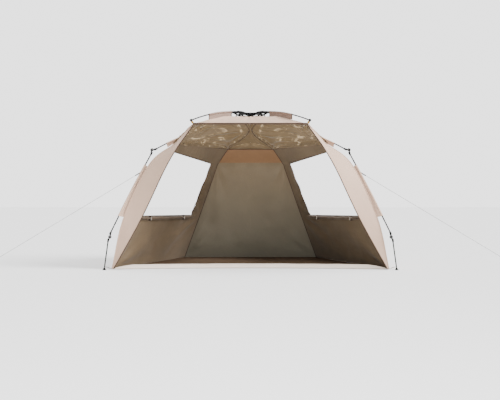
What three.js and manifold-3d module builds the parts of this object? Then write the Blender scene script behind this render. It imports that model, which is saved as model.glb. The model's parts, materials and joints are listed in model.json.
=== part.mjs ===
// A quick-pitch beach shelter: a folding hub on top of six rods, four jointed legs,
// and a sewn canopy with an open front and two side windows. Millimetres, +Z up.
// The open front faces -Y. The origin is on the ground, under the middle of the shelter.
import * as THREE from 'three';
import { mergeVertices } from 'three/addons/utils/BufferGeometryUtils.js';
import Module from 'manifold-3d';

const wasm = await Module();
wasm.setup();

// ---------- Driving dimensions ----------
const GAP = 0.3;                       // between pieces that touch on the real shelter
const HUB_BACK = 560;                  // the hub stands this far behind the front line
const PIVOT = { r: 64, z: 1630 };      // arm pivots round the crown
const RUNNER_PIN = { r: 95, z: 1592 }; // strut pivots round the runner
const RUNNER_TRAVEL = 184;             // how far the runner drops as the frame folds
const STRUT_RISE = 3.8;                // degrees from an arm's pivot up to its strut pin
const ROD = 6.3;                       // radius of the fibreglass rods
const LEG_ROD = 6.5;                   // radius of the leg rods
const SOCKET = 9.5;                    // radius of the moulded sockets
const EYE = 16;                        // radius of the knuckles' eyes
const PIN = 4;                         // radius of the hinge pins
const KNUCKLE_INSET = 12;              // from a rod's axis in to the knuckle's pin
const CLOTH = 3;                       // thickness of the cloth solids
const BALL = 14;                       // radius of the ball at an eave rod's tip

// Each rod's plane stands on the hub's axis and points at the foot or tip given here.
const FRONT_FOOT = [1463, 0];
const REAR_FOOT = [850, 1600];
const EAVE_TIP = [585, -100];

// Arms and legs in their own plane: distance from the hub's axis, then height.
const FRONT = {
  foot: FRONT_FOOT,
  fold: 59.3,
  arm: [
    [64, 1630], [130, 1638], [205, 1635], [470, 1508],
    [740, 1374], [950, 1272], [1066, 1209],
  ],
  knee: [1075, 1204],
  ankle: [1521, 335],
  ground: 1566,
  bow: 8,
};
const REAR = {
  foot: REAR_FOOT,
  fold: 45,
  arm: [
    [64, 1630], [130, 1639], [200, 1643], [240, 1636], [350, 1540],
    [510, 1372], [620, 1246], [694, 1158],
  ],
  knee: [700, 1150],
  ankle: [1052, 560],
  ground: 1343,
  bow: 6,
};
const EAVE = {
  foot: EAVE_TIP,
  fold: 72.4,
  arm: [
    [64, 1630], [130, 1637], [205, 1636], [301, 1625],
    [480, 1600], [633, 1566], [760, 1529], [868.4, 1491.5],
  ],
  tip: [882, 1487],
};

// Seams of the right half of the canopy, as points [x, y, z] behind the front line.
const EAVE_CORNER = [564, -100, 1455];
const FRONT_SEAM = [[1396, 58, 9], [1280, 68, 520], [1038, 152, 1060], [800, 126, 1246]];
const REAR_SEAM = [[803, 1542, 9], [588, 1276, 550], [378, 1008, 1100], [264, 884, 1250]];
const WINDOW = [[790, 205, 1196], [446, 902, 1112], [692, 1130, 522], [1222, 165, 532]];
const FLOOR_FRONT = 52;                // the floor's front corners, behind the front line
const FLOOR_HOLLOW = 130;              // how far the floor's front edge curves back
const FLOOR_HALF = 1384;               // half the floor's width along the front
const SILL_HIGH = 46;                  // height of the lip along the front
const SILL_END = 14;                   // and at its two ends

// Guy lines: from the leg sleeve to a peg.
const GUY = { from: [1120, 158, 984], to: [2722, 90, 12], radius: 1.5 };

// ---------- Materials ----------
const finish = (color, roughness, metalness = 0) =>
  new THREE.MeshStandardMaterial({ color, roughness, metalness, side: THREE.DoubleSide });
const BLACK_PLASTIC = finish(0x161616, 0.5);
const BLACK_ROD = finish(0x1b1b1b, 0.35);
const STEEL_ROD = finish(0x202022, 0.4, 0.4);
const RUBBER = finish(0x101010, 0.85);
const CREAM_CLOTH = finish(0xdcc7b4, 0.8);
const COATED_CLOTH = finish(0x84705c, 0.7);
const FLOOR_CLOTH = finish(0x8a7f70, 0.75);
const WEBBING = finish(0xc39a2c, 0.8);
const CORD = finish(0x8c8c8c, 0.8);

const shelter = new THREE.Group();

// ---------- Geometry helpers ----------
const vec = (p) => new THREE.Vector3(...p);
const degrees = (a) => THREE.MathUtils.degToRad(a);

/** A closed three.js geometry as a manifold solid. */
function solid(geometry) {
  const bare = geometry.index ? geometry.toNonIndexed() : geometry.clone();
  bare.deleteAttribute('normal');
  bare.deleteAttribute('uv');
  const merged = mergeVertices(bare, 1e-3);
  return new wasm.Manifold(new wasm.Mesh({
    numProp: 3,
    vertProperties: new Float32Array(merged.attributes.position.array),
    triVerts: new Uint32Array(merged.index.array),
  }));
}

/** A manifold solid as a three.js geometry. */
function geometryOf(manifold) {
  const mesh = manifold.getMesh();
  const geometry = new THREE.BufferGeometry();
  geometry.setAttribute('position', new THREE.BufferAttribute(new Float32Array(mesh.vertProperties), 3));
  geometry.setIndex(new THREE.BufferAttribute(new Uint32Array(mesh.triVerts), 1));
  geometry.computeVertexNormals();
  return geometry;
}

/** The first geometry with the others joined to it, then the cutters taken away. */
function joined(parts, cutters = []) {
  const whole = parts.map(solid).reduce((a, b) => a.add(b));
  return geometryOf(cutters.map(solid).reduce((a, b) => a.subtract(b), whole));
}

function polygon(radius, sides) {
  const corners = [];
  for (let i = 0; i < sides; i += 1) {
    const a = (2 * Math.PI * (i + 0.5)) / sides;
    corners.push(new THREE.Vector2(radius * Math.cos(a), radius * Math.sin(a)));
  }
  return new THREE.Shape(corners);
}

/** A round rod along a smooth line through the points. */
function rod(points, radius, { sides = 8, steps = 12 } = {}) {
  const path = new THREE.CatmullRomCurve3(points.map(vec), false, 'centripetal');
  return new THREE.ExtrudeGeometry(polygon(radius, sides), { steps, bevelEnabled: false, extrudePath: path });
}

/** A cylinder from one point to another. */
function bar(from, to, radius, sides = 16) {
  const along = vec(to).sub(vec(from));
  const geometry = new THREE.CylinderGeometry(radius, radius, along.length(), sides);
  const turn = new THREE.Quaternion().setFromUnitVectors(new THREE.Vector3(0, 1, 0), along.clone().normalize());
  geometry.applyQuaternion(turn);
  const middle = vec(from).addScaledVector(along, 0.5);
  return geometry.translate(...middle.toArray());
}

/** A box given by its lowest and highest corners. */
function block(low, high) {
  const size = high.map((h, i) => h - low[i]);
  const geometry = new THREE.BoxGeometry(...size);
  return geometry.translate(...high.map((h, i) => (h + low[i]) / 2));
}

/** A plate cut to an outline of [r, z] points, lying in the rod's plane between two t values. */
function plate(outline, from, to) {
  const shape = new THREE.Shape(outline.map(([r, z]) => new THREE.Vector2(r, z)));
  const geometry = new THREE.ExtrudeGeometry(shape, { depth: to - from, bevelEnabled: false });
  return geometry.rotateX(Math.PI / 2).translate(0, to, 0);
}

/** A sheet of cloth on the surface between rows of curves: two like faces, one lifted off the other. */
function cloth(curves, lift, { across = 6, along = 12 } = {}) {
  const lines = curves.map((points) => new THREE.CatmullRomCurve3(points.map(vec), false, 'centripetal'));
  const spans = lines.length - 1;
  const columns = across * spans;
  const places = [];
  for (const raise of [0, 1]) {
    for (let i = 0; i <= columns; i += 1) {
      const u = i / across;
      const k = Math.min(Math.floor(u), spans - 1);
      for (let j = 0; j <= along; j += 1) {
        const place = lines[k].getPoint(j / along).lerp(lines[k + 1].getPoint(j / along), u - k);
        places.push(...place.addScaledVector(vec(lift), raise).toArray());
      }
    }
  }
  const geometry = new THREE.BufferGeometry();
  geometry.setAttribute('position', new THREE.Float32BufferAttribute(places, 3));
  geometry.setIndex(sheetTriangles(columns, along));
  return geometryOf(upright(geometry));
}

/** Triangles of a lower grid, the same grid above it, and the rim between their edges. */
function sheetTriangles(columns, rows) {
  const at = (i, j, raise) => raise * (columns + 1) * (rows + 1) + i * (rows + 1) + j;
  const index = [];
  const quad = (a, b, c, d) => index.push(a, b, c, a, c, d);
  for (let i = 0; i < columns; i += 1) {
    for (let j = 0; j < rows; j += 1) {
      quad(at(i, j, 1), at(i + 1, j, 1), at(i + 1, j + 1, 1), at(i, j + 1, 1));
      index.push(at(i, j, 0), at(i + 1, j + 1, 0), at(i + 1, j, 0));
      index.push(at(i, j, 0), at(i, j + 1, 0), at(i + 1, j + 1, 0));
    }
  }
  for (let i = 0; i < columns; i += 1) {
    quad(at(i, 0, 0), at(i + 1, 0, 0), at(i + 1, 0, 1), at(i, 0, 1));
    quad(at(i + 1, rows, 0), at(i, rows, 0), at(i, rows, 1), at(i + 1, rows, 1));
  }
  for (let j = 0; j < rows; j += 1) {
    quad(at(0, j + 1, 0), at(0, j, 0), at(0, j, 1), at(0, j + 1, 1));
    quad(at(columns, j, 0), at(columns, j + 1, 0), at(columns, j + 1, 1), at(columns, j, 1));
  }
  return index;
}

/** The solid of a sheet, whichever way round its surface was given. */
function upright(geometry) {
  const straight = solid(geometry);
  if (straight.volume() > 0) return straight;
  const index = geometry.index.array;
  for (let i = 0; i < index.length; i += 3) [index[i], index[i + 1]] = [index[i + 1], index[i]];
  return solid(geometry);
}

function add(parent, name, geometry, material) {
  const mesh = new THREE.Mesh(geometry, material);
  mesh.name = name;
  parent.add(mesh);
  return mesh;
}

// ---------- Rod planes ----------
const SIDES = [['right', 1], ['left', -1]];

/** A group whose X axis runs out from the hub towards a foot, on the side given. */
function rodPlane([x, y], side) {
  const plane = new THREE.Group();
  plane.position.set(0, HUB_BACK, 0);
  plane.rotation.z = Math.atan2(y - HUB_BACK, side * x);
  shelter.add(plane);
  return plane;
}

/** Turns a rod-plane place [r, z] into the group's [x, y, z]. */
const flat = ([r, z], t = 0) => [r, t, z];
const unit = ([ar, az], [br, bz]) => {
  const long = Math.hypot(br - ar, bz - az);
  return [(br - ar) / long, (bz - az) / long];
};
const inward = ([r, z]) => [z, -r];
const step = ([r, z], [dr, dz], by) => [r + dr * by, z + dz * by];

/** Distance from an arm's pivot to its strut pin, so that the strut meets the runner folded and open. */
function strutReach(fold) {
  const open = degrees(STRUT_RISE);
  const shut = degrees(STRUT_RISE - fold);
  const out = RUNNER_PIN.r - PIVOT.r;
  const down = PIVOT.z - RUNNER_PIN.z;
  const drop = down + RUNNER_TRAVEL;
  const top = down * down - drop * drop;
  const bottom = 2 * out * (Math.cos(open) - Math.cos(shut)) - 2 * down * Math.sin(open) + 2 * drop * Math.sin(shut);
  return top / bottom;
}

const strutPin = (fold) => {
  const reach = strutReach(fold);
  return [PIVOT.r + reach * Math.cos(degrees(STRUT_RISE)), PIVOT.z + reach * Math.sin(degrees(STRUT_RISE))];
};

// ---------- Hub ----------
const CROWN = { low: 1612, high: 1637, r: 50 };
const LUG = { near: 4.9, far: 9 };     // the faces of the pairs of cheeks, from the rod's plane
const BORE = 15;                       // guide bore for the runner's spigot

function turned(profile, segments = 36) {
  const geometry = new THREE.LatheGeometry(profile.map(([r, z]) => new THREE.Vector2(r, z)), segments);
  return geometry.rotateX(Math.PI / 2);
}

/** Copies of a geometry turned to each of the six rod planes. */
function roundHub(geometry) {
  const turns = [];
  for (const foot of [FRONT_FOOT, REAR_FOOT, EAVE_TIP]) {
    for (const [, side] of SIDES) {
      turns.push(geometry.clone().rotateZ(Math.atan2(foot[1] - HUB_BACK, side * foot[0])));
    }
  }
  return turns;
}

const hub = new THREE.Group();
hub.position.set(0, HUB_BACK, 0);
shelter.add(hub);

const crownCore = turned([
  [0, CROWN.low], [CROWN.r - 3, CROWN.low], [CROWN.r, CROWN.low + 3],
  [CROWN.r, CROWN.high - 5], [CROWN.r - 5, CROWN.high], [0, CROWN.high],
]);
const crownCheeks = [-1, 1].flatMap((s) => {
  const [a, b] = s > 0 ? [LUG.near, LUG.far] : [-LUG.far, -LUG.near];
  return roundHub(block([CROWN.r - 6, a, CROWN.low + 6], [PIVOT.r + 11, b, CROWN.high + 2]));
});
const crownPins = roundHub(bar([PIVOT.r, -LUG.far + 1, PIVOT.z], [PIVOT.r, LUG.far - 1, PIVOT.z], 3, 12));
const guideBore = bar([0, 0, CROWN.low - 1], [0, 0, CROWN.low + 18], BORE, 24);
add(hub, 'hub_crown', joined([crownCore, ...crownCheeks, ...crownPins], [guideBore]), BLACK_PLASTIC);
add(hub, 'hub_cap', turned([
  [0, CROWN.high + GAP], [40, CROWN.high + GAP], [40, CROWN.high + 2],
  [34, CROWN.high + 4.5], [0, CROWN.high + 5.5],
]), BLACK_PLASTIC);

const runnerCore = turned([
  [0, 1586], [12, 1584], [56, 1584], [60, 1588], [60, 1598], [54, 1602],
  [BORE - 2, 1602], [BORE - 2, 1624], [BORE - 4, 1626], [0, 1626],
]);
const runnerLugs = roundHub(block([50, -3, 1584.5], [RUNNER_PIN.r + 8, 3.4, 1600.5]));
add(hub, 'hub_runner', joined([runnerCore, ...runnerLugs]), BLACK_PLASTIC);

// ---------- Arms and struts ----------
const STRUT = { near: 7.4, far: 11.4, half: 9 };  // a strut's faces and half height
const LINK_HALF = 9;                   // half the height of an arm's moulded link

/** An arm: an eye on the crown's pin, a flat link, the rod, and a pin for the strut. */
function armGeometry(spec, side) {
  const [start, ...rest] = spec.arm;
  const [bend, peak] = rest;
  const link = plate([
    [start[0], start[1] - 6], [bend[0], bend[1] - LINK_HALF], [peak[0], peak[1] - LINK_HALF],
    [peak[0], peak[1] + LINK_HALF], [bend[0], bend[1] + LINK_HALF], [start[0], start[1] + 6],
  ], -4.3, 4.3);
  const eye = bar([PIVOT.r, -4.3, PIVOT.z], [PIVOT.r, 4.3, PIVOT.z], 8, 18);
  const line = rest.map((p) => flat(p));
  const pin = strutPin(spec.fold);
  const strutAxle = bar(flat(pin, 0), flat(pin, side * (STRUT.far + 2)), PIN - 0.3, 12);
  const hole = bar([PIVOT.r, -6, PIVOT.z], [PIVOT.r, 6, PIVOT.z], 3 + GAP, 12);
  return joined([link, eye, rod(line, ROD, { steps: 20 }), strutAxle], [hole]);
}

/** A strut: a flat link with an eye at each end, beside the arm. */
function strutGeometry(spec, side) {
  const top = strutPin(spec.fold);
  const bottom = [RUNNER_PIN.r, RUNNER_PIN.z];
  const along = unit(bottom, top);
  const across = [-along[1], along[0]];
  const [a, b] = side > 0 ? [STRUT.near, STRUT.far] : [-STRUT.far, -STRUT.near];
  const outline = [
    step(bottom, across, STRUT.half - 1), step(bottom, across, 1 - STRUT.half),
    step(top, across, 1 - STRUT.half), step(top, across, STRUT.half - 1),
  ];
  const ends = [bottom, top].map((p) => bar(flat(p, a), flat(p, b), STRUT.half, 18));
  const holes = [bottom, top].map((p) => bar(flat(p, a - 1), flat(p, b + 1), PIN, 12));
  return joined([plate(outline, a, b), ...ends], holes);
}

// ---------- Legs ----------
const EYES = { near: 0.6, far: 9 };    // an eye's faces, from the rod's plane
const EYE_HOLE = PIN + GAP;
const SOCKET_FROM = 20;                // a socket's ends, from the pin along the rod
const SOCKET_TO = 52;

/** The rods' lines either side of a hinge whose pin sits inset from them, on the side it folds to. */
function knuckle(from, corner, to, inset) {
  const first = unit(from, corner);
  const second = unit(corner, to);
  const pin = step(corner, inward(first), inset);
  const firstEnd = step(pin, inward(first), -inset);
  const secondStart = step(pin, inward(second), -inset);
  return { pin, first, second, firstEnd, secondStart };
}

/** Half a knuckle: an eye at the pin, a web across to the rod, and a socket round the rod. */
function halfKnuckle(pin, end, direction, [t0, t1]) {
  const web = plate([
    step(pin, direction, -6), step(pin, direction, 30),
    step(end, direction, SOCKET_TO), step(end, direction, SOCKET_FROM - 6),
  ], t0, t1);
  const socket = bar(flat(step(end, direction, SOCKET_FROM)), flat(step(end, direction, SOCKET_TO)), SOCKET, 14);
  return [web, bar(flat(pin, t0), flat(pin, t1), EYE, 16), socket];
}

const back = ([r, z]) => [-r, -z];
const span = (side, sign) => {
  const ends = [sign * side * EYES.near, sign * side * EYES.far];
  return [Math.min(...ends), Math.max(...ends)];
};

/** The upper half of a knuckle, with the pin. */
function pinHalf(k, side) {
  const axle = bar(flat(k.pin, -side * EYES.far), flat(k.pin, side * (EYES.far + 2)), PIN, 14);
  const parts = [...halfKnuckle(k.pin, k.firstEnd, back(k.first), span(side, -1)), axle];
  const inside = step(k.firstEnd, back(k.first), SOCKET_FROM + 4);
  const mouth = step(k.firstEnd, back(k.first), SOCKET_TO + 1);
  return { parts, seat: bar(flat(inside), flat(mouth), ROD + GAP + 0.5, 14) };
}

/** The lower half of a knuckle, with the hole. */
function holeHalf(k, side) {
  const hole = bar(flat(k.pin, -20), flat(k.pin, 20), EYE_HOLE, 16);
  const inside = step(k.secondStart, k.second, SOCKET_FROM + 4);
  const mouth = step(k.secondStart, k.second, SOCKET_TO + 1);
  return {
    parts: halfKnuckle(k.pin, k.secondStart, k.second, span(side, 1)),
    hole,
    seat: bar(flat(inside), flat(mouth), LEG_ROD + GAP + 0.2, 14),
  };
}

// A knee folds outwards, up beside the arm; an ankle folds inwards.
const kneeOf = (spec) => knuckle(spec.arm[spec.arm.length - 2], spec.knee, spec.ankle, -KNUCKLE_INSET);
const ankleOf = (spec) => knuckle(kneeOf(spec).secondStart, spec.ankle, [spec.ground, 0], KNUCKLE_INSET);

/** The middle rod with half a knuckle moulded on each end. */
function midLegGeometry(spec, side) {
  const knee = kneeOf(spec);
  const ankle = ankleOf(spec);
  const top = holeHalf(knee, side);
  const bottom = pinHalf(ankle, side);
  const from = step(knee.secondStart, knee.second, SOCKET_FROM + 2);
  const to = step(ankle.firstEnd, back(ankle.first), SOCKET_FROM + 2);
  const middle = [(from[0] + to[0]) / 2, (from[1] + to[1]) / 2];
  const bowed = step(middle, inward(knee.second), -spec.bow);
  const tube = rod([from, bowed, to].map((p) => flat(p)), LEG_ROD, { steps: 8 });
  return joined([...top.parts, ...bottom.parts, tube], [top.hole]);
}

const FOOT_HIGH = 21;

/** Where the lower leg's line comes down to a height. */
function lowerLegAt(ankle, z) {
  return step(ankle.secondStart, ankle.second, (z - ankle.secondStart[1]) / ankle.second[1]);
}

function footGeometry(ankle) {
  return turned([[0, 0], [20, 0], [20, 3.5], [13, 7], [10.5, 20], [8, FOOT_HIGH], [0, FOOT_HIGH]], 20)
    .translate(lowerLegAt(ankle, FOOT_HIGH / 2)[0], 0, 0);
}

// ---------- Build the frame ----------
for (const [sideName, side] of SIDES) {
  for (const [kind, spec] of [['front', FRONT], ['rear', REAR]]) {
    const plane = rodPlane(spec.foot, side);
    const knee = kneeOf(spec);
    const ankle = ankleOf(spec);
    const place = `${kind}_${sideName}`;
    const upper = pinHalf(knee, side);
    const lower = holeHalf(ankle, side);
    const rodEnd = step(knee.firstEnd, back(knee.first), SOCKET_FROM + 4.6);
    const legTop = step(ankle.secondStart, ankle.second, SOCKET_FROM + 4.6);
    add(plane, `arm_${place}`, armGeometry({ ...spec, arm: [...spec.arm.slice(0, -1), rodEnd] }, side), BLACK_ROD);
    add(plane, `strut_${place}`, strutGeometry(spec, side), BLACK_PLASTIC);
    add(plane, `knee_${place}`, joined(upper.parts, [upper.seat]), BLACK_PLASTIC);
    add(plane, `leg_${place}`, midLegGeometry(spec, side), STEEL_ROD);
    add(plane, `ankle_${place}`, joined(lower.parts, [lower.hole, lower.seat]), BLACK_PLASTIC);
    const lowerLeg = [legTop, lowerLegAt(ankle, FOOT_HIGH + 2)].map((p) => flat(p));
    add(plane, `lower_leg_${place}`, rod(lowerLeg, LEG_ROD, { steps: 1 }), STEEL_ROD);
    add(plane, `foot_${place}`, footGeometry(ankle), RUBBER);
  }
}

for (const [sideName, side] of SIDES) {
  const plane = rodPlane(EAVE.foot, side);
  const place = `eave_${sideName}`;
  add(plane, `arm_${place}`, armGeometry(EAVE, side), BLACK_ROD);
  add(plane, `strut_${place}`, strutGeometry(EAVE, side), BLACK_PLASTIC);
  const ball = new THREE.SphereGeometry(BALL, 16, 10).translate(EAVE.tip[0], 0, EAVE.tip[1]);
  add(plane, `tip_${place}`, ball, BLACK_PLASTIC);
  const strap = [[874, 1459], [872, 1461], [880, 1472], [882, 1470]];
  add(plane, `strap_${place}`, plate(strap, -9, 9), WEBBING);
  add(plane, `web_${place}`, plate([
    [301, 1586], [301, 1618], [480, 1592], [633, 1558], [633, 1528], [480, 1562],
  ], -1.5, 1.5), CREAM_CLOTH);
}

// ---------- Canopy ----------
const mirrored = (points, side) => points.map(([x, y, z]) => [side * x, y, z]);
const outward = (side, [x, y, z]) => [side * x, y, z];

/** Half of the roof, with the side gore down to the top of the side wall. */
function roofGeometry(side) {
  const middle = [[3, -100, 1452], [3, 110, 1508], [3, 330, 1568], [3, 570, 1450], [3, 866, 1276]];
  const seam = [[555, -100, 1452], [424, 70, 1508], [207, 330, 1571], [16, 560, 1450], [246, 866, 1272]];
  const edge = [EAVE_CORNER, [684, 36, 1362], [782, 128, 1272], [560, 480, 1268], [270, 862, 1276]];
  return cloth([middle, seam, edge].map((line) => mirrored(line, side)), [0, 0, CLOTH], { across: 3, along: 12 });
}

/** A side wall between the front and rear seams, with its window cut out. */
function sideWallGeometry(side) {
  const lift = outward(side, [CLOTH * 0.87, CLOTH * 0.48, 0]);
  const wall = cloth([FRONT_SEAM, REAR_SEAM].map((line) => mirrored(line, side)), lift, { across: 6, along: 10 });
  const shape = new THREE.Shape(WINDOW.map(([, y, z]) => new THREE.Vector2(y, z)));
  const hole = new THREE.ExtrudeGeometry(shape, { depth: 1600, bevelEnabled: false });
  hole.applyMatrix4(new THREE.Matrix4().makeBasis(
    new THREE.Vector3(0, 1, 0), new THREE.Vector3(0, 0, 1), new THREE.Vector3(1, 0, 0)));
  hole.translate(side > 0 ? 50 : -1650, 0, 0);
  return joined([wall], [hole]);
}

/** The strip of the front wall between a front leg seam and the open doorway. */
function frontBandGeometry(side) {
  const outer = [
    [1392, 46, 10], [1276, 54, 520], [1032, 130, 1060],
    [792, 108, 1242], [690, 20, 1340], [584, -88, 1436],
  ];
  const inner = [
    [1366, 42, 30], [1092, 22, 520], [860, -6, 1000],
    [730, -36, 1220], [640, -70, 1340], [562, -96, 1444],
  ];
  return cloth([outer, inner].map((line) => mirrored(line, side)), [0, CLOTH, 0], { across: 2, along: 12 });
}

const floorFront = (x) => FLOOR_FRONT + FLOOR_HOLLOW * (1 - (x / 1400) ** 2);

function floorGeometry() {
  const corners = [];
  const steps = 16;
  for (let i = 0; i <= steps; i += 1) {
    const x = FLOOR_HALF * ((2 * i) / steps - 1);
    corners.push(new THREE.Vector2(x, floorFront(x) + 8));
  }
  corners.push(new THREE.Vector2(786, 1538), new THREE.Vector2(-786, 1538));
  return new THREE.ExtrudeGeometry(new THREE.Shape(corners), { depth: 4, bevelEnabled: false });
}

function sillGeometry() {
  const stations = [-1376, -1180, -590, 0, 590, 1180, 1376];
  const last = stations.length - 1;
  const foot = stations.map((x) => [x, floorFront(x) + 6, 5]);
  const top = stations.map((x, i) => [x, floorFront(x) + 14, i % last === 0 ? SILL_END : SILL_HIGH]);
  return cloth([foot, top], [0, CLOTH, 0], { across: 1, along: 24 });
}

function rearWallGeometry() {
  const right = REAR_SEAM.map(([x, y, z]) => [x - 14, y + 6, z]);
  return cloth([mirrored(right, -1), right], [0, CLOTH, CLOTH / 2], { across: 4, along: 8 });
}

/** A window's curtain, rolled up along the sill inside the wall. */
function curtainGeometry(side) {
  const roll = [[1150, 200, 496], [925, 640, 478], [694, 1062, 488]];
  return rod(mirrored(roll, side), 17, { sides: 10, steps: 6 });
}

/** The sleeve between the front leg rod and the seam of the canopy. */
function sleeveGeometry() {
  return plate([[1131.5, 1060], [1137, 1068], [1395, 550], [1390, 540]], -1.5, 1.5);
}

for (const [sideName, side] of SIDES) {
  add(shelter, `roof_${sideName}`, roofGeometry(side), COATED_CLOTH);
  add(shelter, `side_wall_${sideName}`, sideWallGeometry(side), COATED_CLOTH);
  add(shelter, `front_band_${sideName}`, frontBandGeometry(side), CREAM_CLOTH);
  add(shelter, `curtain_${sideName}`, curtainGeometry(side), COATED_CLOTH);
  add(rodPlane(FRONT_FOOT, side), `sleeve_${sideName}`, sleeveGeometry(), CREAM_CLOTH);
}
add(shelter, 'rear_wall', rearWallGeometry(), COATED_CLOTH);
add(shelter, 'floor_sheet', floorGeometry(), FLOOR_CLOTH);
add(shelter, 'front_sill', sillGeometry(), CREAM_CLOTH);

// ---------- Guy lines ----------
/** A steel peg driven in beside the line's end: the stem leans away and its hook holds the line. */
function pegGeometry(side) {
  const [x, y] = GUY.to;
  const line = [[x + 12, y, 6], [x + 30, y, 34], [x + 36, y, 44], [x + 26, y, 50], [x + 14, y, 42]];
  return rod(mirrored(line, side), 4, { steps: 10 });
}

for (const [sideName, side] of SIDES) {
  const line = mirrored([GUY.from, GUY.to], side);
  add(shelter, `guy_line_${sideName}`, rod(line, GUY.radius, { steps: 6 }), CORD);
  add(shelter, `guy_peg_${sideName}`, pegGeometry(side), STEEL_ROD);
}

// ---------- Set the origin under the middle of the shelter ----------
shelter.updateMatrixWorld(true);
const extent = new THREE.Box3();
shelter.traverse((piece) => {
  if (piece.isMesh && !piece.name.startsWith('guy_')) extent.expandByObject(piece, true);
});
const middle = extent.getCenter(new THREE.Vector3());
shelter.position.set(-middle.x, -middle.y, -extent.min.z);

export default shelter;
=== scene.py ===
"""A quick-pitch beach shelter: its folding frame, sewn canopy, groundsheet and guy lines."""
import json
import math

import bmesh
import bpy
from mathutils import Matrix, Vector, noise

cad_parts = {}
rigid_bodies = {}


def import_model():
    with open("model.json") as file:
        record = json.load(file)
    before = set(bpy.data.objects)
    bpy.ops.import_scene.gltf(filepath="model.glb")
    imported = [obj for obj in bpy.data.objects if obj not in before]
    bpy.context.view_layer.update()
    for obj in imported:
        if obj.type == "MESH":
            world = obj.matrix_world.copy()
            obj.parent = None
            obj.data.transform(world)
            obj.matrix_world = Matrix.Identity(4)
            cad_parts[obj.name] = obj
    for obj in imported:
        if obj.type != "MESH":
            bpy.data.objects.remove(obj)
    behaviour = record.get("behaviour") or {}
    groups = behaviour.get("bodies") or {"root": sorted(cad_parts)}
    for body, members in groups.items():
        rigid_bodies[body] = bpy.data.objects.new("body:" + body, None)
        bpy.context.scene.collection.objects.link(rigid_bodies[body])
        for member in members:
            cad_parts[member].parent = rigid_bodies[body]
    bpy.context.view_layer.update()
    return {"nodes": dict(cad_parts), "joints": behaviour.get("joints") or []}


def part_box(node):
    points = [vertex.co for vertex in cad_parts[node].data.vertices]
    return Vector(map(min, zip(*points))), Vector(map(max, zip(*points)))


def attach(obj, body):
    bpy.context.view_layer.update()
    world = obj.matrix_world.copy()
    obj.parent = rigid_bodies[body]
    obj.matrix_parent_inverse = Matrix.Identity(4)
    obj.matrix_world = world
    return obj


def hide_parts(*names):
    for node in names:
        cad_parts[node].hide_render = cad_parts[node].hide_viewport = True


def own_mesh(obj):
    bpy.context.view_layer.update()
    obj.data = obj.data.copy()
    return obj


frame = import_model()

scene = bpy.context.scene
SIDES = (("right", 1), ("left", -1))
CLOTH_THICK = 0.0012

hub_low, hub_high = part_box("hub_crown")
HUB_BACK = 0.56                    # the hub stands this far behind the front line
FRONT_LINE = (hub_low.y + hub_high.y) / 2 - HUB_BACK


def site(x, y, z):
    """A place given from the front line, in metres."""
    return Vector((x, y + FRONT_LINE, z))


def sided(points, side):
    return [site(side * x, y, z) for x, y, z in points]


# ---------- Camera ----------
camera = bpy.data.objects.new("camera", bpy.data.cameras.new("camera"))
scene.collection.objects.link(camera)
camera.location = site(0, -7.0, 0.70)
camera.rotation_euler = (math.radians(90), 0, 0)
camera.data.lens = 50.4
camera.data.sensor_width = 36
camera.data.shift_x = -0.001
scene.camera = camera

# ---------- Seams of the canopy, right half, from the front line ----------
EAVE_CORNER = (0.564, -0.100, 1.455)
FRONT_SEAM = [(1.396, 0.058, 0.004), (1.280, 0.064, 0.520), (1.035, 0.140, 1.060), (0.786, 0.128, 1.270)]
REAR_SEAM = [(0.803, 1.542, 0.004), (0.588, 1.276, 0.550), (0.405, 1.044, 1.030),
             (0.372, 1.000, 1.110), (0.252, 0.868, 1.274)]
WINDOW = [(0.790, 0.205, 1.196), (0.446, 0.902, 1.112), (0.692, 1.130, 0.522), (1.222, 0.165, 0.532)]
ROOF_MIDDLE = [(0, -0.100, 1.452), (0, 0.110, 1.508), (0, 0.330, 1.568), (0, 0.570, 1.450), (0, 0.872, 1.276)]
ROOF_SEAM = [(0.555, -0.100, 1.452), (0.424, 0.070, 1.508), (0.207, 0.330, 1.571),
             (0.016, 0.560, 1.450), (0.250, 0.870, 1.274)]
ROOF_EDGE = [EAVE_CORNER, (0.684, 0.036, 1.362), (0.782, 0.128, 1.272),
             (0.560, 0.480, 1.268), (0.252, 0.868, 1.274)]
BAND_OUTER = [(1.396, 0.054, 0.006), (1.280, 0.062, 0.520), (1.035, 0.138, 1.060),
              (0.788, 0.122, 1.262), (0.690, 0.020, 1.340), (0.584, -0.088, 1.436)]
BAND_INNER = [(1.376, 0.046, 0.010), (1.092, 0.022, 0.520), (0.860, -0.006, 1.000),
              (0.730, -0.036, 1.220), (0.640, -0.070, 1.340), (0.562, -0.096, 1.444)]
GUY = {"from": (1.120, 0.158, 0.984), "to": (2.722, 0.090, 0.012), "long": 1.875, "thick": 0.003}

FEET = {"front": (1.463, 0.0), "rear": (0.850, 1.600), "eave": (0.585, -0.100)}
RODS = {   # each rod's line in its own upright plane: distance from the hub's axis, then height
    "front": [(0.130, 1.638), (0.205, 1.635), (0.470, 1.508), (0.740, 1.374), (0.950, 1.272), (1.066, 1.209)],
    "rear": [(0.130, 1.639), (0.200, 1.643), (0.240, 1.636), (0.350, 1.540),
             (0.510, 1.372), (0.620, 1.246), (0.694, 1.158)],
    "eave": [(0.130, 1.637), (0.205, 1.636), (0.301, 1.625), (0.480, 1.600),
             (0.633, 1.566), (0.760, 1.529), (0.868, 1.4915)],
}


def heading(kind, side):
    """The level directions out along a rod's plane and across it."""
    x, y = FEET[kind]
    angle = math.atan2(y - HUB_BACK, side * x)
    out = Vector((math.cos(angle), math.sin(angle), 0))
    return out, Vector((-out.y, out.x, 0))


def on_plane(kind, side, r, z, t=0.0):
    """A place in a rod's plane, t metres across from it."""
    out, across = heading(kind, side)
    return site(0, HUB_BACK, z) + out * r + across * t


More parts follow.
